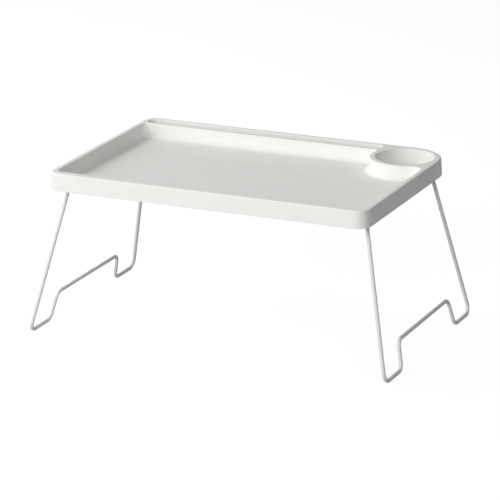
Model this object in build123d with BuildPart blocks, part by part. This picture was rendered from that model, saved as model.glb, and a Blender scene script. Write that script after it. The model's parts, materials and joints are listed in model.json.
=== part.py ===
from build123d import *
import os
from math import cos, radians, sin, tan

# Folding tray table for use in bed, in millimetres.
# Frame: origin on the floor under the middle of the table, +X to the right along the tray,
# +Y to the back (the side with the long slot), +Z up.
# The table is built standing, with both wire legs swung out against their stops.

# ---- Tray moulding ------------------------------------------------------------------------
# The length and the depth are taken at the top; the skirt widens downwards by its draft.
tray_length = 508.0
tray_depth = 352.0
tray_top = 255.0
skirt_height = 26.25
skirt_draft = 4.0
corner_radius = 20.0
cup_corner_radius = 57.0
wall = 2.5
top_edge_radius = 2.5
rim_edge_radius = 1.5
skirt_lip_radius = 0.8

# Pocket: the sunken floor that carries the plates
side_rim = 8.5
front_rim = 14.5
back_rim = 36.5
pocket_floor_over_skirt = 4.25
pocket_corner_radius = 10.0
pocket_draft = 3.0
pocket_floor_radius = 9.0
pocket_shell_radius = 9.0
slot_side_blend = 7.0
rim_side_blend = 15.0

# Cup well in the back right corner, inside a round wall that stands in the pocket
cup_from_right = 55.0
cup_from_back = 55.5
cup_radius = 44.5
cup_floor_over_skirt = 3.25
cup_draft = 2.0
cup_floor_radius = 8.0
cup_ring_width = 9.0

# Slot along the back rim that holds a book or a tablet upright
slot_width = 20.0
slot_from_back = 9.0
slot_from_left = 9.0
slot_length = 392.0
slot_depth = 12.0
slot_corner_radius = 8.0
slot_floor_radius = 2.0

# Ribs under the pocket floor
rib_width = 2.0
rib_height = 1.5
long_rib_spacing = 88.0
long_rib_count = 3
cross_rib_spacing = 94.0
cross_rib_count = 5

# ---- Wire legs ----------------------------------------------------------------------------
wire_diameter = 5.8
leg_tilt = 12.356
upright_splay = 11.25
hinge_from_side = 15.65
upright_from_front = 43.2
foot_length = 67.0
crossbar_rise = 42.2
leg_bend_radius = 13.0
pivot_bend_radius = 8.0
pivot_end_chamfer = 0.6

# ---- Hinge brackets -----------------------------------------------------------------------
fold_gap = 0.8
pivot_gap = 0.1
stop_gap = 0.05
side_play = 0.7
bracket_width = 22.0
barrel_wall = 2.6
barrel_top_wall = 1.4
pivot_overhang = 3.0
flange_thickness = 3.2
flange_reach = 24.0
flange_corner_radius = 4.0
bracket_edge_radius = 0.8
flange_screw_from_end = 7.5
flange_over_pivot = 1.45
screw_spacing = 11.0
stop_arm_thickness = 3.0
stop_arm_height = 8.0
stop_arm_reach = 8.0

# ---- Screws and the bosses that take them -------------------------------------------------
screw_diameter = 3.5
screw_head_diameter = 7.0
screw_head_height = 2.2
screw_head_radius = 1.2
screw_point = 1.6
screw_hole_gap = 0.2
screw_bite_in_floor = 1.0
pilot_gap = 0.05
pilot_end_gap = 0.4
recess_width = 0.9
recess_length = 3.8
recess_depth = 1.1
boss_radius = 4.5
boss_web = 2.0

# ---- Clips that hold the crossbar of a folded leg -----------------------------------------
clip_offset = 60.0
clip_width = 12.0
clip_gap = 0.3
clip_arm = 2.0
clip_grip = 2.5
clip_mouth_chamfer = 0.8
clip_tab_reach = 14.0
clip_tab_corner_radius = 4.0
clip_edge_radius = 0.6

# ---- Places worked out from the sizes above -----------------------------------------------
wire_radius = wire_diameter / 2
skirt_bottom = tray_top - skirt_height
pocket_floor = skirt_bottom + pocket_floor_over_skirt
pocket_underside = pocket_floor - wall
pocket_depth = tray_top - pocket_floor
cup_floor = skirt_bottom + cup_floor_over_skirt
cup_underside = cup_floor - wall
cup_depth = tray_top - cup_floor
slot_underside = tray_top - slot_depth - wall

pocket_left = -tray_length / 2 + side_rim
pocket_right = tray_length / 2 - side_rim
pocket_front = -tray_depth / 2 + front_rim
pocket_back = tray_depth / 2 - back_rim
cup_x = tray_length / 2 - cup_from_right
cup_y = tray_depth / 2 - cup_from_back
cup_ring_radius = cup_radius + cup_ring_width
slot_x = -tray_length / 2 + slot_from_left + slot_length / 2
slot_y = tray_depth / 2 - slot_from_back - slot_width / 2

# The pivots run along Y. Each leg lies in one plane, which leans out by leg_tilt.
tilt = radians(leg_tilt)
splay_slope = tan(radians(upright_splay))
hinge_x = tray_length / 2 - hinge_from_side
hinge_z = skirt_bottom - fold_gap - wire_radius
leg_height = (hinge_z - wire_radius) / cos(tilt)
foot_x = hinge_x + leg_height * sin(tilt)
pivot_corner_y = tray_depth / 2 - upright_from_front
foot_outer_y = pivot_corner_y + leg_height * splay_slope
foot_inner_y = foot_outer_y - foot_length
riser_top_y = foot_inner_y - crossbar_rise * splay_slope
pivot_bend_start_y = pivot_corner_y - pivot_bend_radius * tan(radians(90 - upright_splay) / 2)

bracket_outer_y = pivot_bend_start_y - side_play
bracket_inner_y = bracket_outer_y - bracket_width
bracket_middle_y = (bracket_outer_y + bracket_inner_y) / 2
pivot_end_y = bracket_inner_y - pivot_overhang
bore_radius = wire_radius + pivot_gap
barrel_radius = bore_radius + barrel_wall
barrel_top = hinge_z + bore_radius + barrel_top_wall
flange_top = hinge_z + flange_over_pivot
flange_bottom = flange_top - flange_thickness
flange_end_x = hinge_x - flange_reach
hinge_screw_x = flange_end_x + flange_screw_from_end
hinge_screw_ys = (bracket_middle_y - screw_spacing / 2, bracket_middle_y + screw_spacing / 2)

clip_x = hinge_x - (leg_height - crossbar_rise)
clip_inside = wire_radius + clip_gap
clip_outside = clip_inside + clip_arm
clip_screw_x = clip_x + clip_outside + clip_tab_reach / 2

screw_tip = min(pocket_underside, cup_underside) + screw_bite_in_floor
screw_length = screw_tip - flange_bottom
screw_hole_radius = screw_diameter / 2 + screw_hole_gap
pilot_radius = screw_diameter / 2 + pilot_gap
pilot_end = screw_tip + pilot_end_gap

QUARTERS = {
    "front_left": (-1, -1),
    "back_left": (-1, 1),
    "front_right": (1, -1),
    "back_right": (1, 1),
}


def to_quarter(piece, side, end):
    """Mirror a piece drawn in the back right quarter into the quarter (side, end)."""
    placed = piece
    if side < 0:
        placed = placed.mirror(Plane.YZ)
    if end < 0:
        placed = placed.mirror(Plane.XZ)
    return placed


def across(y):
    """The upright plane at this y, seen from the front: its x is +X and its y is +Z."""
    return Plane.XZ.offset(-y)


def save(part, name):
    """Label a finished piece and write it as its own STEP file."""
    part.label = name
    export_step(part, f"parts/{name}.step")


os.makedirs("parts", exist_ok=True)

# ---- Outlines of the tray, seen from above ------------------------------------------------
with BuildSketch() as tray_outline:
    Rectangle(tray_length, tray_depth)
    towards_cup = Axis((0, 0, 0), (1, 1, 0))
    fillet(tray_outline.vertices().sort_by(towards_cup)[-1], cup_corner_radius)
    fillet(tray_outline.vertices().sort_by(towards_cup)[:3], corner_radius)

with BuildSketch() as pocket_outline:
    with Locations(((pocket_left + pocket_right) / 2, (pocket_front + pocket_back) / 2)):
        Rectangle(pocket_right - pocket_left, pocket_back - pocket_front)
    with Locations((cup_x, cup_y)):
        Circle(cup_ring_radius, mode=Mode.SUBTRACT)
    fillet(pocket_outline.vertices().group_by(Axis.Y)[0], pocket_corner_radius)
    fillet(pocket_outline.vertices().group_by(Axis.Y)[-1].sort_by(Axis.X)[0], pocket_corner_radius)
    fillet(pocket_outline.vertices().group_by(Axis.Y)[-1].sort_by(Axis.X)[-1], slot_side_blend)
    fillet(pocket_outline.vertices().group_by(Axis.X)[-1].sort_by(Axis.Y)[-1], rim_side_blend)

with BuildSketch() as cup_outline:
    with Locations((cup_x, cup_y)):
        Circle(cup_radius)

with BuildSketch() as slot_outline:
    with Locations((slot_x, slot_y)):
        RectangleRounded(slot_length, slot_width, slot_corner_radius)

# ---- Hollows of the tray ------------------------------------------------------------------
with BuildPart() as pocket_hollow:
    with BuildSketch(Plane.XY.offset(tray_top)):
        add(pocket_outline.sketch)
    extrude(amount=-pocket_depth, taper=pocket_draft)
    fillet(pocket_hollow.faces().sort_by(Axis.Z)[0].edges(), pocket_floor_radius)

with BuildPart() as cup_hollow:
    with BuildSketch(Plane.XY.offset(tray_top)):
        add(cup_outline.sketch)
    extrude(amount=-cup_depth, taper=cup_draft)
    fillet(cup_hollow.faces().sort_by(Axis.Z)[0].edges(), cup_floor_radius)

with BuildPart() as slot_hollow:
    with BuildSketch(Plane.XY.offset(tray_top)):
        add(slot_outline.sketch)
    extrude(amount=-slot_depth)
    fillet(slot_hollow.faces().sort_by(Axis.Z)[0].edges(), slot_floor_radius)

# The pocket's shell from outside, rounded where its wall turns into its floor
with BuildPart() as pocket_shell:
    with BuildSketch(Plane.XY.offset(tray_top)):
        add(pocket_outline.sketch)
        offset(amount=wall, mode=Mode.REPLACE)
    extrude(amount=pocket_underside - tray_top, taper=pocket_draft)
    fillet(pocket_shell.faces().sort_by(Axis.Z)[0].edges(), pocket_shell_radius)

# The open underside: all the room inside the skirt that isn't the shell round a hollow
with BuildPart() as underside:
    with BuildSketch(Plane.XY.offset(tray_top - wall)):
        add(tray_outline.sketch)
        offset(amount=-wall, mode=Mode.REPLACE)
    extrude(amount=wall - skirt_height, taper=-skirt_draft)
    add(pocket_shell.part, mode=Mode.SUBTRACT)
    with BuildSketch(Plane.XY.offset(cup_underside)):
        add(cup_outline.sketch)
        offset(amount=wall, mode=Mode.REPLACE)
    extrude(amount=tray_top - cup_underside, mode=Mode.SUBTRACT)
    with BuildSketch(Plane.XY.offset(slot_underside)):
        add(slot_outline.sketch)
        offset(amount=wall, mode=Mode.REPLACE)
    extrude(amount=tray_top - slot_underside, mode=Mode.SUBTRACT)

# ---- Tray ---------------------------------------------------------------------------------
with BuildPart() as tray:
    with BuildSketch(Plane.XY.offset(tray_top)):
        add(tray_outline.sketch)
    extrude(amount=-skirt_height, taper=-skirt_draft)
    fillet(tray.faces().sort_by(Axis.Z)[-1].edges(), top_edge_radius)
    add(pocket_hollow.part, mode=Mode.SUBTRACT)
    add(cup_hollow.part, mode=Mode.SUBTRACT)
    add(slot_hollow.part, mode=Mode.SUBTRACT)
    rim = tray.faces().sort_by(Axis.Z)[-1]
    fillet([edge for wire in rim.inner_wires() for edge in wire.edges()], rim_edge_radius)
    add(underside.part, mode=Mode.SUBTRACT)
    fillet(tray.faces().sort_by(Axis.Z)[0].edges(), skirt_lip_radius)

    # Ribs under the pocket floor
    with BuildSketch(Plane.XY.offset(pocket_underside - rib_height)):
        with GridLocations(cross_rib_spacing, 1, cross_rib_count, 1):
            Rectangle(rib_width, tray_depth)
        with GridLocations(1, long_rib_spacing, 1, long_rib_count):
            Rectangle(tray_length, rib_width)
        add(pocket_outline.sketch, mode=Mode.INTERSECT)
    extrude(amount=rib_height + wall / 2)

    # Screw bosses: a joined pair over each hinge bracket and one over each clip
    for quarter, (side, end) in QUARTERS.items():
        bracket_ceiling = cup_underside if quarter == "back_right" else pocket_underside
        with BuildSketch(Plane.XY.offset(flange_top)):
            with Locations([(side * hinge_screw_x, end * y) for y in hinge_screw_ys]):
                Circle(boss_radius)
            with Locations((side * hinge_screw_x, end * bracket_middle_y)):
                Rectangle(boss_web, screw_spacing)
        extrude(amount=bracket_ceiling + wall / 2 - flange_top)
        with BuildSketch(Plane.XY.offset(flange_top)):
            with Locations((side * clip_screw_x, end * clip_offset)):
                Circle(boss_radius)
        extrude(amount=pocket_underside + wall / 2 - flange_top)
        with BuildSketch(Plane.XY.offset(flange_top)):
            with Locations([(side * hinge_screw_x, end * y) for y in hinge_screw_ys]):
                Circle(pilot_radius)
            with Locations((side * clip_screw_x, end * clip_offset)):
                Circle(pilot_radius)
        extrude(amount=pilot_end - flange_top, mode=Mode.SUBTRACT)
save(tray.part, "tray")

# ---- Legs ---------------------------------------------------------------------------------
# Half of the wire from the crossbar to its pivot end, as (y, height up the leg's plane)
half_wire = [
    (riser_top_y, crossbar_rise),
    (foot_inner_y, 0),
    (foot_outer_y, 0),
    (pivot_corner_y, leg_height),
    (pivot_end_y, leg_height),
]
whole_wire = [(-y, height) for y, height in reversed(half_wire)] + half_wire
foot_bends = [leg_bend_radius] * 3
bend_radii = [pivot_bend_radius] + foot_bends + foot_bends + [pivot_bend_radius]

leg_plane = Plane(origin=(foot_x, 0, wire_radius), x_dir=(0, 1, 0), z_dir=(cos(tilt), 0, sin(tilt)))
with BuildPart() as leg:
    with BuildLine(leg_plane) as wire_path:
        FilletPolyline(whole_wire, radius=bend_radii)
    with BuildSketch(Plane(wire_path.line @ 0, z_dir=wire_path.line % 0)):
        Circle(wire_radius)
    sweep(path=wire_path.line)
    pivot_ends = leg.faces().filter_by(GeomType.PLANE)
    chamfer(pivot_ends.edges(), pivot_end_chamfer)

save(leg.part, "leg_right")
with BuildPart() as left_leg:
    add(leg.part.mirror(Plane.YZ))
save(left_leg.part, "leg_left")


# ---- Hinge brackets -----------------------------------------------------------------------
def beside_leg(out, z):
    """The point at height z on the plane that lies this far outside the leg's own plane."""
    return (hinge_x + out / cos(tilt) + (hinge_z - z) * tan(tilt), z)


stop_face = wire_radius + stop_gap
stop_arm_bottom = barrel_top - stop_arm_height
with BuildPart() as hinge_bracket:
    # Barrel and flange
    with BuildSketch(across(bracket_inner_y)):
        with Locations((hinge_x, hinge_z)):
            Circle(barrel_radius)
        with Locations(((flange_end_x + hinge_x) / 2, (flange_top + flange_bottom) / 2)):
            Rectangle(flange_reach, flange_thickness)
        with Locations((hinge_x, barrel_top + barrel_radius)):
            Rectangle(4 * barrel_radius, 2 * barrel_radius, mode=Mode.SUBTRACT)
    extrude(amount=-bracket_width)
    flange_end = hinge_bracket.faces().sort_by(Axis.X)[0]
    fillet(flange_end.edges().filter_by(Axis.Z), flange_corner_radius)
    flange_underside = hinge_bracket.faces().filter_by(Plane.XY).sort_by(Axis.Z)[0]
    fillet(flange_underside.edges().sort_by(Axis.X)[:-1], bracket_edge_radius)
    barrel_crown = hinge_bracket.faces().filter_by(Plane.XY).sort_by(Axis.Z)[-1]
    fillet(barrel_crown.edges().filter_by(Axis.Y), bracket_edge_radius)

    # Arm outside the upright, which stops the leg when it is swung out
    with BuildSketch(across(bracket_middle_y)):
        with BuildLine():
            Polyline(
                beside_leg(stop_face, stop_arm_bottom),
                beside_leg(stop_face + stop_arm_thickness, stop_arm_bottom),
                beside_leg(stop_face + stop_arm_thickness, barrel_top),
                beside_leg(stop_face, barrel_top),
                close=True,
            )
        make_face()
    extrude(amount=-(bracket_outer_y - bracket_middle_y + stop_arm_reach))
    stop_arm_end = hinge_bracket.faces().sort_by(Axis.Y)[-1]
    fillet(stop_arm_end.edges(), bracket_edge_radius)

    # Bore for the pivot and holes for the screws
    with BuildSketch(across(bracket_inner_y)):
        with Locations((hinge_x, hinge_z)):
            Circle(bore_radius)
    extrude(amount=-bracket_width, mode=Mode.SUBTRACT)
    with BuildSketch(Plane.XY.offset(flange_bottom)):
        with Locations([(hinge_screw_x, y) for y in hinge_screw_ys]):
            Circle(screw_hole_radius)
    extrude(amount=flange_thickness, mode=Mode.SUBTRACT)

for quarter, (side, end) in QUARTERS.items():
    with BuildPart() as placed_bracket:
        add(to_quarter(hinge_bracket.part, side, end))
    save(placed_bracket.part, f"hinge_bracket_{quarter}")

# ---- Clips --------------------------------------------------------------------------------
with BuildPart() as leg_clip:
    with BuildSketch(across(clip_offset - clip_width / 2)):
        with Locations((clip_x, (hinge_z - clip_grip + pocket_underside) / 2)):
            Rectangle(2 * clip_outside, pocket_underside - hinge_z + clip_grip)
        with Locations((clip_x + (clip_outside + clip_tab_reach) / 2, (flange_top + flange_bottom) / 2)):
            Rectangle(clip_outside + clip_tab_reach, flange_thickness)
        with Locations((clip_x, hinge_z)):
            Circle(clip_inside, mode=Mode.SUBTRACT)
        with Locations((clip_x, hinge_z - clip_inside)):
            Rectangle(2 * clip_inside, 2 * clip_inside, mode=Mode.SUBTRACT)
    extrude(amount=-clip_width)
    tab_end = leg_clip.faces().sort_by(Axis.X)[-1]
    fillet(tab_end.edges().filter_by(Axis.Z), clip_tab_corner_radius)
    tab_underside = leg_clip.faces().filter_by(Plane.XY).group_by(Axis.X)[-1].sort_by(Axis.Z)[0]
    fillet(tab_underside.edges().sort_by(Axis.X)[1:], clip_edge_radius)
    mouth = leg_clip.edges().filter_by(Axis.Y).group_by(Axis.Z)[0].sort_by(Axis.X)[1:3]
    chamfer(mouth, clip_mouth_chamfer)
    with BuildSketch(Plane.XY.offset(flange_bottom)):
        with Locations((clip_screw_x, clip_offset)):
            Circle(screw_hole_radius)
    extrude(amount=flange_thickness, mode=Mode.SUBTRACT)

for quarter, (side, end) in QUARTERS.items():
    with BuildPart() as placed_clip:
        add(to_quarter(leg_clip.part, side, end))
    save(placed_clip.part, f"leg_clip_{quarter}")

# ---- Screws -------------------------------------------------------------------------------
# One screw, head down, with the underside of its head at z = 0
with BuildPart() as screw:
    with BuildSketch(Plane.XY.offset(-screw_head_height)):
        Circle(screw_head_diameter / 2)
    extrude(amount=screw_head_height)
    fillet(screw.edges().sort_by(Axis.Z)[0], screw_head_radius)
    with BuildSketch(Plane.XY):
        Circle(screw_diameter / 2)
    extrude(amount=screw_length)
    chamfer(screw.edges().sort_by(Axis.Z)[-1], length=screw_point, length2=screw_point / 2)
    with BuildSketch(Plane.XY.offset(-screw_head_height)):
        Rectangle(recess_length, recess_width)
        Rectangle(recess_width, recess_length)
    extrude(amount=recess_depth, mode=Mode.SUBTRACT)

for quarter, (side, end) in QUARTERS.items():
    with BuildPart() as hinge_screws:
        with Locations([(side * hinge_screw_x, end * y, flange_bottom) for y in hinge_screw_ys]):
            add(screw.part)
    save(hinge_screws.part, f"hinge_screws_{quarter}")
    with BuildPart() as clip_screw:
        with Locations((side * clip_screw_x, end * clip_offset, flange_bottom)):
            add(screw.part)
    save(clip_screw.part, f"clip_screw_{quarter}")
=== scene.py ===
"""The looks of the folding tray table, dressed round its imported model.

The table is a white moulded tray that stands on two wire legs. The legs turn in hinge brackets under
the tray and fold flat against it, where clips hold them. Every shape with a real size comes from the
model's own nodes; this script gives each node its finish, adds the marks that the mould leaves under
the tray, and sets up the studio. All lengths are in metres, +Z up, with the floor at zero.
"""

import json
import logging
import math
from dataclasses import dataclass, field
from enum import Enum

import bmesh
import bpy
from mathutils import Matrix, Vector


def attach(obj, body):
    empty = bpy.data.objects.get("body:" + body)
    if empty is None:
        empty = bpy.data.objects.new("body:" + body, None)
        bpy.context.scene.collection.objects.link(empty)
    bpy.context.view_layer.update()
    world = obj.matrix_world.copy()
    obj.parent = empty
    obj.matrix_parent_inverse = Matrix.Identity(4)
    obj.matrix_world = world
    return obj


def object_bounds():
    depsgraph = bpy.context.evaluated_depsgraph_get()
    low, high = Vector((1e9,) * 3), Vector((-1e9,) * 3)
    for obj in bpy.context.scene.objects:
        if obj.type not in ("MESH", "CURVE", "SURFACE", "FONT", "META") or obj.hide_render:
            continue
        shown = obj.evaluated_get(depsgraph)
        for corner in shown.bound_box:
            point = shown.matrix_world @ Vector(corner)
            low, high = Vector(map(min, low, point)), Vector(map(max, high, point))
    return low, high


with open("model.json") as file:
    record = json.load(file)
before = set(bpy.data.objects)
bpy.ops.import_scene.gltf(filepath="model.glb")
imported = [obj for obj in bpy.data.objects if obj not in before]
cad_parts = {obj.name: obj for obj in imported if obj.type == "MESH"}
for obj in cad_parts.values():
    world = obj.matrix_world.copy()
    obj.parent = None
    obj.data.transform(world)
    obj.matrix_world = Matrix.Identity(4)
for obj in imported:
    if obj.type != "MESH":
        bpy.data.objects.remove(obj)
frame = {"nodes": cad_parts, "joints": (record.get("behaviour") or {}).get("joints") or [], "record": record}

CAD_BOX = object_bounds()
MILLIMETRE = 0.001
NOISE_LOW, NOISE_HIGH = 0.3, 0.7

Colour = tuple[float, float, float]
Point = tuple[float, float, float]
Band = tuple[float, float]
Socket = bpy.types.NodeSocket
Value = Socket | float

log = logging.getLogger("tray_table")


# ---- Names of places ----------------------------------------------------------------------


class Quarter(Enum):
    """The four places under the tray that have a hinge bracket and a clip."""

    FRONT_LEFT = "front_left"
    BACK_LEFT = "back_left"
    FRONT_RIGHT = "front_right"
    BACK_RIGHT = "back_right"


class Side(Enum):
    """The two ends of the tray that have a leg."""

    LEFT = "left"
    RIGHT = "right"


class Mark(Enum):
    """What the mould leaves on the plastic."""

    EJECTOR_PIN = "ejector_pin"
    GATE = "gate"


# ---- Node work ----------------------------------------------------------------------------


class Bench:
    """Builds the node tree of one finish."""

    def __init__(self, name: str) -> None:
        """Start an empty material.

        Args:
            name: The finish's name.
        """
        self.material = bpy.data.materials.new(name)
        self.material.use_nodes = True
        self.tree = self.material.node_tree
        self.tree.nodes.clear()
        self.output = self.node("ShaderNodeOutputMaterial")
        self.place = self.node("ShaderNodeTexCoord").outputs["Object"]

    def node(self, kind: str, **settings: object) -> bpy.types.Node:
        """Add a node.

        Args:
            kind: The node's type.
            **settings: Properties of the node, by name.

        Returns:
            The new node.
        """
        made = self.tree.nodes.new(kind)
        for name, value in settings.items():
            setattr(made, name, value)
        return made

    def feed(self, socket: Socket, value: Value) -> None:
        """Link a value to an input, or set it there if it is a plain number.

        Args:
            socket: The input.
            value: Another node's output, or a number.
        """
        if isinstance(value, Socket):
            self.tree.links.new(value, socket)
        else:
            socket.default_value = value

    def math(self, operation: str, first: Value, second: Value) -> Socket:
        """Work out one value from two.

        Args:
            operation: The operation's name in the Math node.
            first: The first value.
            second: The second value.

        Returns:
            The result.
        """
        made = self.node("ShaderNodeMath", operation=operation)
        self.feed(made.inputs[0], first)
        self.feed(made.inputs[1], second)
        return made.outputs[0]

    def stretched(self, scale: Point, turn: float = 0.0) -> Socket:
        """The place on the piece, turned about Z and then scaled, for patterns with a direction.

        Args:
            scale: How much each axis is scaled.
            turn: The turn about Z, in degrees.

        Returns:
            The scaled place.
        """
        made = self.node("ShaderNodeMapping", vector_type="TEXTURE")
        self.feed(made.inputs["Vector"], self.place)
        made.inputs["Rotation"].default_value = (0.0, 0.0, math.radians(turn))
        made.inputs["Scale"].default_value = tuple(1.0 / value for value in scale)
        return made.outputs["Vector"]

    def noise(self, patch: float, detail: float, place: Socket | None = None) -> Socket:
        """Soft noise over the surface, nearly all of it between NOISE_LOW and NOISE_HIGH.

        Args:
            patch: About how wide one patch is.
            detail: How many finer layers are added.
            place: Where the noise is read, if not at the place on the piece.

        Returns:
            The noise, around one half.
        """
        made = self.node("ShaderNodeTexNoise")
        self.feed(made.inputs["Vector"], place or self.place)
        made.inputs["Scale"].default_value = 1.0 / patch
        made.inputs["Detail"].default_value = detail
        return made.outputs["Fac"]

    def spread(self, noise: Socket, low: float = 0.0, high: float = 1.0) -> Socket:
        """Stretch noise so that it runs from one value to another.

        Args:
            noise: The noise.
            low: The result where it is lowest.
            high: The result where it is highest.

        Returns:
            The stretched noise.
        """
        return self.between(noise, NOISE_LOW, NOISE_HIGH, low, high)

    def between(
        self, value: Value, start: float, end: float, low: float = 0.0, high: float = 1.0
    ) -> Socket:
        """Map a range of a value onto another, smoothly and without going past it.

        Args:
            value: The value.
            start: Where the range starts.
            end: Where it ends.
            low: The result at the start.
            high: The result at the end.

        Returns:
            The mapped value.
        """
        made = self.node("ShaderNodeMapRange", interpolation_type="SMOOTHSTEP")
        self.feed(made.inputs["Value"], value)
        for name, number in zip(("From Min", "From Max", "To Min", "To Max"), (start, end, low, high)):
            made.inputs[name].default_value = number
        return made.outputs["Result"]

    def height(self) -> Socket:
        """The height over the floor with the table standing."""
        made = self.node("ShaderNodeSeparateXYZ")
        self.feed(made.inputs[0], self.place)
        return made.outputs["Z"]

    def blend(self, share: Value, first: Colour, second: Colour) -> Socket:
        """Blend two colours.

        Args:
            share: The second colour's share.
            first: The first colour.
            second: The second colour.

        Returns:
            The blended colour.
        """
        made = self.node("ShaderNodeMix", data_type="RGBA")
        self.feed(made.inputs[0], share)
        made.inputs[6].default_value = (*first, 1.0)
        made.inputs[7].default_value = (*second, 1.0)
        return made.outputs[2]

    def bump(self, height: Value, depth: float, under: Socket | None = None) -> Socket:
        """Turn a height into a bumpy surface.

        Args:
            height: The height, from 0 to 1.
            depth: How deep the relief is.
            under: A coarser relief that this one lies on.

        Returns:
            The surface's normal.
        """
        made = self.node("ShaderNodeBump")
        made.inputs["Strength"].default_value = 1.0
        made.inputs["Distance"].default_value = depth
        self.feed(made.inputs["Height"], height)
        if under is not None:
            self.feed(made.inputs["Normal"], under)
        return made.outputs["Normal"]

    def coat(
        self, colour: Value, roughness: Value, normal: Value, **constants: float
    ) -> bpy.types.Material:
        """Close the tree with the surface shader.

        Args:
            colour: The base colour.
            roughness: The roughness.
            normal: The surface's normal.
            **constants: Other inputs of the shader, with spaces written as underscores.

        Returns:
            The finished material.
        """
        shader = self.node("ShaderNodeBsdfPrincipled")
        self.feed(shader.inputs["Base Color"], colour)
        self.feed(shader.inputs["Roughness"], roughness)
        self.feed(shader.inputs["Normal"], normal)
        for name, value in constants.items():
            shader.inputs[name.replace("_", " ")].default_value = value
        self.tree.links.new(shader.outputs["BSDF"], self.output.inputs["Surface"])
        return self.material


def shade(colour: Colour, share: float) -> Colour:
    """A colour made darker or lighter by a share of itself."""
    return tuple(min(1.0, part * share) for part in colour)


# ---- Finishes -----------------------------------------------------------------------------


@dataclass(frozen=True)
class MouldedPlastic:
    """Satin plastic from a finely eroded mould, with slight flow marks and light wear."""

    name: str
    colour: Colour
    roughness: float = 0.5
    gloss: float = 0.25
    refraction: float = 1.49
    grain: float = 0.6 * MILLIMETRE
    grain_depth: float = 0.09 * MILLIMETRE
    flow: float = 70.0 * MILLIMETRE
    flow_stretch: Point = (1.0, 1.8, 1.0)
    flow_shades: Band = (1.004, 0.982)
    sink: float = 24.0 * MILLIMETRE
    sink_depth: float = 0.03 * MILLIMETRE
    unevenness: float = 0.05
    scuffed_between: Band | None = None
    scuff_turns: tuple[float, ...] = (12.0, 71.0, 128.0)
    scuff_stretch: Point = (14.0, 1500.0, 14.0)
    scuff_band: Band = (0.64, 0.7)
    scuff_shine: float = 0.16
    scuff_edge: float = 0.5 * MILLIMETRE

    def material(self) -> bpy.types.Material:
        """Build the finish.

        Returns:
            The material, for all the pieces that share it.
        """
        bench = Bench(self.name)
        flow = bench.noise(self.flow, 3.0, bench.stretched(self.flow_stretch))
        pale, deep = (shade(self.colour, share) for share in self.flow_shades)
        colour = bench.blend(bench.spread(flow), pale, deep)
        cloud = bench.noise(self.sink, 2.0)
        smooth, rough = self.roughness - self.unevenness, self.roughness + self.unevenness
        roughness = bench.spread(cloud, smooth, rough)
        if self.scuffed_between is not None:
            roughness = bench.math("SUBTRACT", roughness, self.scuffs(bench))
        relief = bench.bump(cloud, self.sink_depth)
        relief = bench.bump(bench.noise(self.grain, 3.0), self.grain_depth, relief)
        return bench.coat(colour, roughness, relief, IOR=self.refraction, Specular_IOR_Level=self.gloss)

    def scuffs(self, bench: Bench) -> Socket:
        """Hairlines that plates and cups rub into the surfaces between two heights.

        Args:
            bench: The finish's node tree.

        Returns:
            How much smoother the plastic is there.
        """
        lines = None
        for turn in self.scuff_turns:
            hair = bench.noise(1.0, 1.0, bench.stretched(self.scuff_stretch, turn))
            line = bench.between(hair, *self.scuff_band, 0.0, self.scuff_shine)
            lines = line if lines is None else bench.math("MAXIMUM", lines, line)
        low, high = self.scuffed_between
        above = bench.between(bench.height(), low - self.scuff_edge, low)
        below = bench.between(bench.height(), high, high + self.scuff_edge, 1.0, 0.0)
        return bench.math("MULTIPLY", lines, bench.math("MULTIPLY", above, below))


@dataclass(frozen=True)
class PowderCoat:
    """Baked powder coat on steel wire, with a fine orange peel, rubbed where the wire turns and stands."""

    name: str
    colour: Colour
    rubbed_colour: Colour
    hinge_height: float
    roughness: float = 0.48
    gloss: float = 0.1
    refraction: float = 1.5
    peel: float = 1.6 * MILLIMETRE
    peel_depth: float = 0.16 * MILLIMETRE
    powder: float = 0.35 * MILLIMETRE
    powder_depth: float = 0.006 * MILLIMETRE
    cloud: float = 9.0 * MILLIMETRE
    smoothest: float = 0.03
    roughest: float = 0.05
    speckle: float = 2.2 * MILLIMETRE
    speckle_band: Band = (0.45, 0.6)
    rub_share: float = 0.5
    floor_rub: float = 1.0 * MILLIMETRE
    pivot_rub: float = 4.0 * MILLIMETRE

    def material(self) -> bpy.types.Material:
        """Build the finish.

        Returns:
            The material, for both legs.
        """
        bench = Bench(self.name)
        height = bench.height()
        foot = bench.between(height, 0.0, self.floor_rub, 1.0, 0.0)
        pivot = bench.between(height, self.hinge_height - self.pivot_rub, self.hinge_height)
        speckle = bench.between(bench.noise(self.speckle, 3.0), *self.speckle_band, 0.0, self.rub_share)
        rub = bench.math("MULTIPLY", bench.math("MAXIMUM", foot, pivot), speckle)
        colour = bench.blend(rub, self.colour, self.rubbed_colour)
        cloud = bench.noise(self.cloud, 2.0)
        roughness = bench.spread(cloud, self.roughness - self.smoothest, self.roughness + self.roughest)
        relief = bench.bump(bench.noise(self.peel, 1.0), self.peel_depth)
        relief = bench.bump(bench.noise(self.powder, 2.0), self.powder_depth, relief)
        return bench.coat(colour, roughness, relief, IOR=self.refraction, Specular_IOR_Level=self.gloss)


@dataclass(frozen=True)
class ZincPlate:
    """Bright zinc on a steel screw, with a faint grain and a few dull spots."""

    name: str
    colour: Colour
    dull_colour: Colour
    roughness: float = 0.3
    dullness: float = 0.16
    spot: float = 1.1 * MILLIMETRE
    spot_band: Band = (0.45, 0.7)
    dull_band: Band = (0.35, 0.7)
    grain: float = 0.25 * MILLIMETRE
    grain_depth: float = 0.008 * MILLIMETRE

    def material(self) -> bpy.types.Material:
        """Build the finish.

        Returns:
            The material, for all screws.
        """
        bench = Bench(self.name)
        spots = bench.noise(self.spot, 3.0)
        colour = bench.blend(bench.between(spots, *self.spot_band), self.colour, self.dull_colour)
        roughness = bench.between(spots, *self.dull_band, self.roughness, self.roughness + self.dullness)
        relief = bench.bump(bench.noise(self.grain, 2.0), self.grain_depth)
        return bench.coat(colour, roughness, relief, Metallic=1.0)


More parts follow.
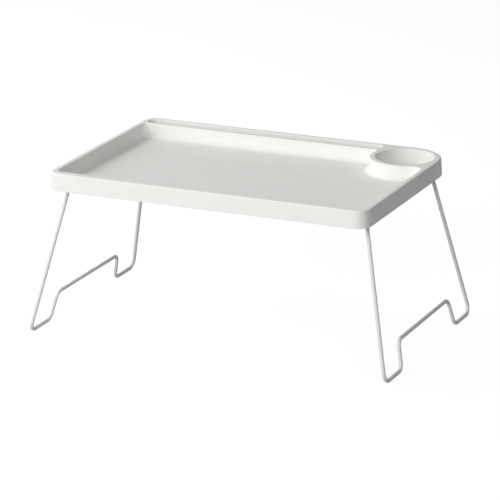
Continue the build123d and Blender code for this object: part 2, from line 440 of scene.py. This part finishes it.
WHITE: Colour = (0.87, 0.872, 0.847)
FITTING_WHITE: Colour = shade(WHITE, 0.965)
COATING_WHITE: Colour = (0.84, 0.842, 0.812)
RUBBED_COATING: Colour = (0.6, 0.6, 0.59)
ZINC: Colour = (0.66, 0.67, 0.69)
DULL_ZINC: Colour = (0.5, 0.51, 0.53)
SCUFFED_DEPTH = 1.5 * MILLIMETRE


# ---- Dressing -----------------------------------------------------------------------------


def pocket_floor_height() -> float:
    """The height of the top of the tray's sunken floor."""
    seat = next(mount for mount in frame["record"]["mounts"] if mount["name"] == "pocket_floor")
    return seat["pos_m"][2]


def dress(node: str, finish: bpy.types.Material) -> bpy.types.Object:
    """Give a node of the model its finish.

    Args:
        node: The node's name.
        finish: The material for all its slots.

    Returns:
        The node's object.
    """
    piece = frame["nodes"][node]
    if not piece.material_slots:
        piece.data.materials.append(finish)
    for place in piece.material_slots:
        place.material = finish
    log.info("dressed %s in %s", node, finish.name)
    return piece


def piece_from(name: str, build: bmesh.types.BMesh, finish: bpy.types.Material) -> bpy.types.Object:
    """Turn a mesh under construction into a piece of the scene.

    Args:
        name: The piece's name.
        build: The mesh, which is freed.
        finish: Its material.

    Returns:
        The piece.
    """
    mesh = bpy.data.meshes.new(name)
    bmesh.ops.recalc_face_normals(build, faces=build.faces)
    build.to_mesh(mesh)
    build.free()
    mesh.shade_smooth()
    mesh.materials.append(finish)
    made = bpy.data.objects.new(name, mesh)
    bpy.context.scene.collection.objects.link(made)
    return made


# ---- Sub-assemblies -----------------------------------------------------------------------


@dataclass
class TrayTop:
    """The moulded tray, with the marks of the mould on its underside."""

    node: str = "tray"
    body: str = "tray_top"
    floor_thickness: float = 2.5 * MILLIMETRE
    pin_radius: float = 4.0 * MILLIMETRE
    pin_ridge: float = 0.45 * MILLIMETRE
    pin_relief: float = 0.16 * MILLIMETRE
    gate_radius: float = 2.2 * MILLIMETRE
    gate_stub: float = 0.9 * MILLIMETRE
    root: float = 0.3 * MILLIMETRE
    segments: int = 40
    pin_columns: tuple[float, ...] = (-0.141, -0.047, 0.047, 0.141)
    pin_rows: tuple[float, ...] = (-0.116, -0.044, 0.044)

    def underside(self) -> float:
        """The height of the underside of the sunken floor."""
        return pocket_floor_height() - self.floor_thickness

    def profile(self, mark: Mark) -> list[tuple[float, float]]:
        """The turned profile of one mark.

        Args:
            mark: Which mark it is.

        Returns:
            Radius and depth under the floor, from the root in the plastic round to the middle.
        """
        if mark is Mark.EJECTOR_PIN:
            outer, ridge, drop = self.pin_radius, self.pin_ridge, self.pin_relief
            return [
                (0.0, -self.root),
                (outer, -self.root),
                (outer + 0.3 * ridge, 0.0),
                (outer + 0.1 * ridge, 0.7 * drop),
                (outer - 0.3 * ridge, drop),
                (outer - 0.7 * ridge, 0.7 * drop),
                (outer - ridge, 0.15 * drop),
                (0.0, 0.1 * drop),
            ]
        outer, drop = self.gate_radius, self.gate_stub
        return [
            (0.0, -self.root),
            (2.1 * outer, -self.root),
            (2.2 * outer, 0.0),
            (2.1 * outer, 0.22 * drop),
            (1.25 * outer, 0.3 * drop),
            (outer, 0.45 * drop),
            (0.82 * outer, 0.95 * drop),
            (0.6 * outer, drop),
            (0.0, 0.92 * drop),
        ]

    def turned(self, build: bmesh.types.BMesh, centre: Point, mark: Mark) -> None:
        """Turn one mark about the vertical through its centre.

        Args:
            build: The mesh that it joins.
            centre: Its middle, on the floor's underside.
            mark: Which mark it is.
        """
        x, y, level = centre
        rings = []
        for radius, depth in self.profile(mark):
            ring = []
            for step in range(self.segments if radius else 1):
                angle = math.tau * step / self.segments
                across, along = radius * math.cos(angle), radius * math.sin(angle)
                ring.append(build.verts.new((x + across, y + along, level - depth)))
            rings.append(ring)
        for outer, inner in zip(rings, rings[1:]):
            for step in range(self.segments):
                around = ((outer, step), (outer, step + 1), (inner, step + 1), (inner, step))
                build.faces.new(tuple(dict.fromkeys(ring[place % len(ring)] for ring, place in around)))

    def build(self, plastic: bpy.types.Material) -> list[bpy.types.Object]:
        """Build the marks under the tray.

        Args:
            plastic: The tray's finish.

        Returns:
            The pieces, which move with the tray.
        """
        level = self.underside()
        pins = bmesh.new()
        for x in self.pin_columns:
            for y in self.pin_rows:
                self.turned(pins, (x, y, level), Mark.EJECTOR_PIN)
        gate = bmesh.new()
        gate_y = (self.pin_rows[0] + self.pin_rows[1]) / 2
        self.turned(gate, (self.pin_columns[1], gate_y, level), Mark.GATE)
        made = [piece_from("ejector_pin_marks", pins, plastic), piece_from("gate_mark", gate, plastic)]
        for piece in made:
            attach(piece, self.body)
            log.info("built %s", piece.name)
        return made

    def dress(self, plastic: bpy.types.Material) -> None:
        """Give the tray its finish."""
        dress(self.node, plastic)


@dataclass
class WireLeg:
    """One bent wire leg, which turns in two hinge brackets."""

    side: Side

    def dress(self, coating: bpy.types.Material) -> None:
        """Give the wire its coating."""
        dress(f"leg_{self.side.value}", coating)


@dataclass
class HingeMount:
    """A hinge bracket with its two screws, and the clip on the same quarter with its screw."""

    quarter: Quarter

    def dress(self, plastic: bpy.types.Material, zinc: bpy.types.Material) -> None:
        """Give the fittings their finishes.

        Args:
            plastic: The finish of the bracket and the clip.
            zinc: The finish of the screws.
        """
        place = self.quarter.value
        dress(f"hinge_bracket_{place}", plastic)
        dress(f"leg_clip_{place}", plastic)
        dress(f"hinge_screws_{place}", zinc)
        dress(f"clip_screw_{place}", zinc)


# ---- Studio -------------------------------------------------------------------------------


def direction(azimuth: float, elevation: float) -> Vector:
    """The direction in which a lamp or the camera stands.

    Args:
        azimuth: Degrees round from the table's front, towards its right.
        elevation: Degrees above level.

    Returns:
        The direction, of length one.
    """
    turn, rise = math.radians(azimuth), math.radians(elevation)
    level = math.cos(rise)
    return Vector((math.sin(turn) * level, -math.cos(turn) * level, math.sin(rise)))


@dataclass(frozen=True)
class Softbox:
    """A square lamp that shines at the middle of the table."""

    name: str
    azimuth: float
    elevation: float
    power: float
    distance: float = 3.0
    width: float = 1.6

    def build(self, aim: Vector) -> bpy.types.Object:
        """Hang the lamp.

        Args:
            aim: The point that it shines at.

        Returns:
            The lamp.
        """
        away = direction(self.azimuth, self.elevation)
        data = bpy.data.lights.new(self.name, "AREA")
        data.shape = "SQUARE"
        data.size = self.width
        data.energy = self.power
        lamp = bpy.data.objects.new(self.name, data)
        bpy.context.scene.collection.objects.link(lamp)
        lamp.location = aim + away * self.distance
        lamp.rotation_mode = "QUATERNION"
        lamp.rotation_quaternion = (-away).to_track_quat("-Z", "Y")
        lamp.visible_camera = False
        return lamp


@dataclass
class Studio:
    """A plain pale floor, soft lamps, a pale surround and the camera."""

    floor_size: float = 24.0
    floor_bounce: float = 0.45
    floor_grain: float = 0.02
    floor_grain_share: float = 0.98
    floor_shown: float = 0.25
    floor_glow: float = 0.87
    surround: float = 0.116
    camera_azimuth: float = 23.858
    camera_elevation: float = 17.362
    camera_place: Point = (1.76096, -3.98810, 1.47983)
    lens: float = 217.74
    sensor: float = 36.0
    clip: Band = (0.1, 60.0)
    softboxes: list[Softbox] = field(
        default_factory=lambda: [
            Softbox("front_right_softbox", azimuth=25.0, elevation=32.0, power=27.0),
            Softbox("front_left_softbox", azimuth=-25.0, elevation=18.0, power=47.5),
            Softbox("high_left_softbox", azimuth=-100.0, elevation=50.0, power=28.0),
            Softbox("low_left_softbox", azimuth=-100.0, elevation=18.0, power=17.5),
        ]
    )

    @staticmethod
    def shown_rays(tree: bpy.types.NodeTree) -> Socket:
        """Tell the rays that see the surroundings from those that only carry light.

        Args:
            tree: The node tree that asks.

        Returns:
            1 for camera, glossy and transmission rays, and 0 for the others.
        """
        path = tree.nodes.new("ShaderNodeLightPath")
        first = tree.nodes.new("ShaderNodeMath")
        second = tree.nodes.new("ShaderNodeMath")
        for node in (first, second):
            node.operation = "MAXIMUM"
        tree.links.new(path.outputs["Is Camera Ray"], first.inputs[0])
        tree.links.new(path.outputs["Is Glossy Ray"], first.inputs[1])
        tree.links.new(first.outputs[0], second.inputs[0])
        tree.links.new(path.outputs["Is Transmission Ray"], second.inputs[1])
        return second.outputs[0]

    def floor_finish(self) -> bpy.types.Material:
        """White to the eye with the table's shadow on it, and pale grey as a source of bounced light.

        Returns:
            The floor's material, which is see-through from below.
        """
        bench = Bench("studio_floor")
        grey = (self.floor_bounce,) * 3
        grain = bench.spread(bench.noise(self.floor_grain, 3.0))
        carries = bench.node("ShaderNodeBsdfDiffuse")
        bench.feed(carries.inputs["Color"], bench.blend(grain, grey, shade(grey, self.floor_grain_share)))
        shadowed = bench.node("ShaderNodeBsdfDiffuse")
        shadowed.inputs["Color"].default_value = (*(self.floor_shown,) * 3, 1.0)
        glow = bench.node("ShaderNodeEmission")
        glow.inputs["Strength"].default_value = self.floor_glow
        seen = bench.node("ShaderNodeAddShader")
        bench.feed(seen.inputs[0], shadowed.outputs[0])
        bench.feed(seen.inputs[1], glow.outputs[0])
        top = bench.node("ShaderNodeMixShader")
        bench.feed(top.inputs[0], self.shown_rays(bench.tree))
        bench.feed(top.inputs[1], carries.outputs[0])
        bench.feed(top.inputs[2], seen.outputs[0])
        both = bench.node("ShaderNodeMixShader")
        bench.feed(both.inputs[0], bench.node("ShaderNodeNewGeometry").outputs["Backfacing"])
        bench.feed(both.inputs[1], top.outputs[0])
        bench.feed(both.inputs[2], bench.node("ShaderNodeBsdfTransparent").outputs[0])
        bench.feed(bench.output.inputs["Surface"], both.outputs[0])
        return bench.material

    def build_floor(self) -> bpy.types.Object:
        """Lay the floor.

        Returns:
            The floor.
        """
        build = bmesh.new()
        bmesh.ops.create_grid(build, x_segments=8, y_segments=8, size=self.floor_size / 2)
        floor = piece_from("studio_floor", build, self.floor_finish())
        return floor

    def build_surround(self) -> bpy.types.World:
        """Light the scene softly from all round.

        Returns:
            The world, which looks white and shines at its own level.
        """
        world = bpy.data.worlds.new("studio_surround")
        world.use_nodes = True
        tree = world.node_tree
        tree.nodes.clear()
        carries = tree.nodes.new("ShaderNodeBackground")
        carries.inputs["Strength"].default_value = self.surround
        seen = tree.nodes.new("ShaderNodeBackground")
        seen.inputs["Strength"].default_value = 1.0
        for node in (carries, seen):
            node.inputs["Color"].default_value = (1.0, 1.0, 1.0, 1.0)
        mixed = tree.nodes.new("ShaderNodeMixShader")
        output = tree.nodes.new("ShaderNodeOutputWorld")
        tree.links.new(self.shown_rays(tree), mixed.inputs[0])
        tree.links.new(carries.outputs[0], mixed.inputs[1])
        tree.links.new(seen.outputs[0], mixed.inputs[2])
        tree.links.new(mixed.outputs[0], output.inputs["Surface"])
        bpy.context.scene.world = world
        return world

    def build_camera(self) -> bpy.types.Object:
        """Place the camera and make it the scene's own.

        Returns:
            The camera.
        """
        turn = math.radians(self.camera_azimuth)
        back = direction(self.camera_azimuth, self.camera_elevation)
        right = Vector((math.cos(turn), math.sin(turn), 0.0))
        data = bpy.data.cameras.new("studio_camera")
        data.lens = self.lens
        data.sensor_width = self.sensor
        data.clip_start, data.clip_end = self.clip
        camera = bpy.data.objects.new("studio_camera", data)
        bpy.context.scene.collection.objects.link(camera)
        facing = Matrix((right, back.cross(right), back)).transposed()
        camera.matrix_world = Matrix.Translation(self.camera_place) @ facing.to_4x4()
        bpy.context.scene.camera = camera
        return camera

    def build(self) -> None:
        """Set up the floor, the lamps, the surround and the camera."""
        low, high = CAD_BOX
        aim = (low + high) / 2
        self.build_camera()
        self.build_floor()
        self.build_surround()
        for softbox in self.softboxes:
            softbox.build(aim)
            log.info("hung %s", softbox.name)
        bpy.context.scene.view_settings.view_transform = "Standard"


# ---- The whole table ----------------------------------------------------------------------


def main() -> None:
    """Build and dress the table and its studio."""
    logging.basicConfig(level=logging.INFO, format="%(name)s: %(message)s")
    Studio().build()

    pocket_floor = pocket_floor_height()
    hinge_height = frame["joints"][0]["pos_m"][2]
    tray_plastic = MouldedPlastic(
        "tray_plastic", WHITE, scuffed_between=(pocket_floor - SCUFFED_DEPTH, pocket_floor)
    )
    fitting_plastic = MouldedPlastic(
        "fitting_plastic",
        FITTING_WHITE,
        roughness=0.52,
        flow=14.0 * MILLIMETRE,
        sink=6.0 * MILLIMETRE,
    )
    leg_coating = PowderCoat("leg_coating", COATING_WHITE, RUBBED_COATING, hinge_height)
    screw_steel = ZincPlate("screw_steel", ZINC, DULL_ZINC)

    plastic, fittings = tray_plastic.material(), fitting_plastic.material()
    coating, zinc = leg_coating.material(), screw_steel.material()

    top = TrayTop()
    top.build(plastic)
    top.dress(plastic)
    for side in Side:
        WireLeg(side).dress(coating)
    for quarter in Quarter:
        HingeMount(quarter).dress(fittings, zinc)


if __name__ == "__main__":
    main()
